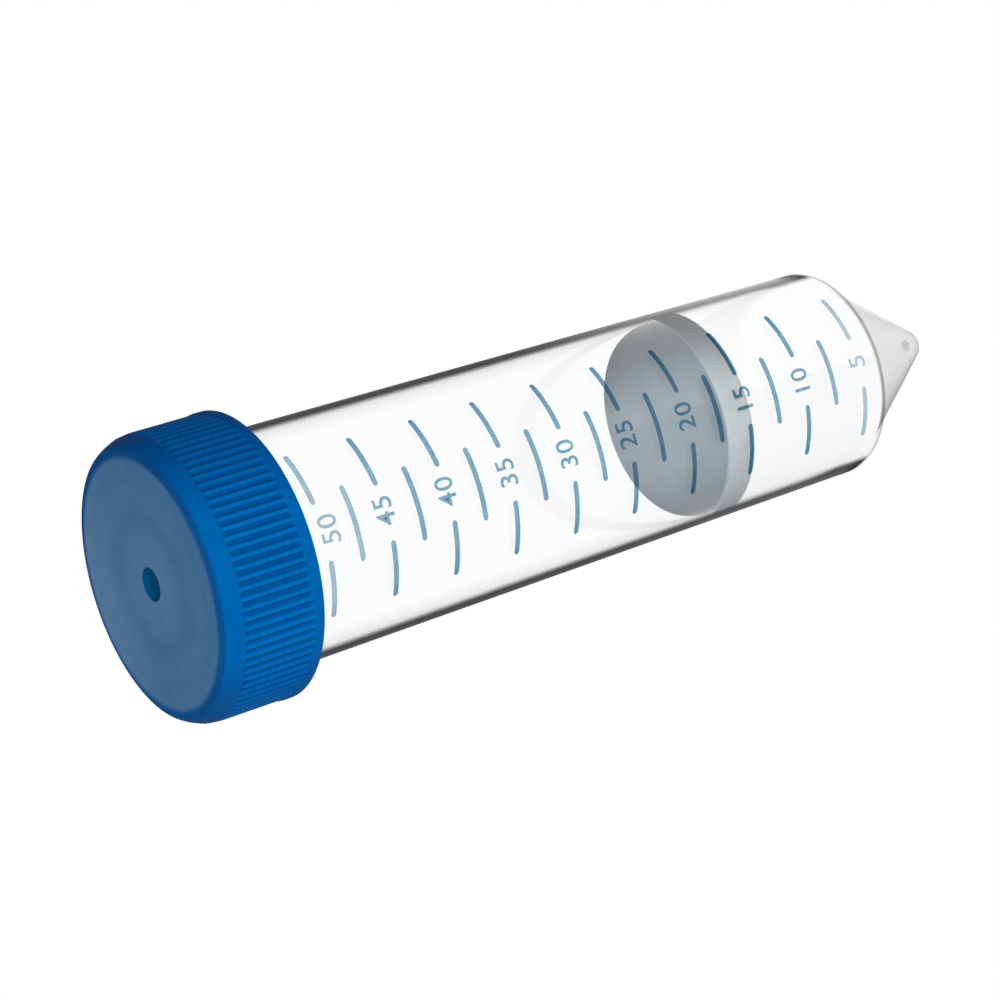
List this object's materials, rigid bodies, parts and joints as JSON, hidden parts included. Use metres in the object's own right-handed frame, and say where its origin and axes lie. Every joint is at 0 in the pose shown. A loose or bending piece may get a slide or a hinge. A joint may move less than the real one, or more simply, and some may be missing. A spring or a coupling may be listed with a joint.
{
  "type": "50 ml conical tube",
  "caption": "Clear tapered conical-bottom sample tube with a ribbed blue screw cap and a porous separation barrier inside.",
  "frame": {"origin": "centre of the screw cap's flat face, the surface that the tube stands on head down", "axes": "+Z along the tube from the cap to the tip of the cone; the printed scale faces -Y"},
  "size_m": [0.0355, 0.0354, 0.1199],
  "materials": {
    "clear_polypropylene": "clear, glossy",
    "blue_cap_plastic": "glossy skirt and rim, satin flat face",
    "sintered_polyethylene": "matt, finely granular",
    "blue_print": "thin printed ink"
  },
  "bodies": {
    "cap": {"screw_cap": "blue_cap_plastic"},
    "tube_body": {"tube": "clear_polypropylene", "porous_barrier": "sintered_polyethylene"}
  },
  "joints": [
    {"name": "tube_lift", "type": "slide", "parent": "cap", "child": "tube_body", "axis": [0, 0, 1], "range_m": [0, 0.03]}
  ]
}
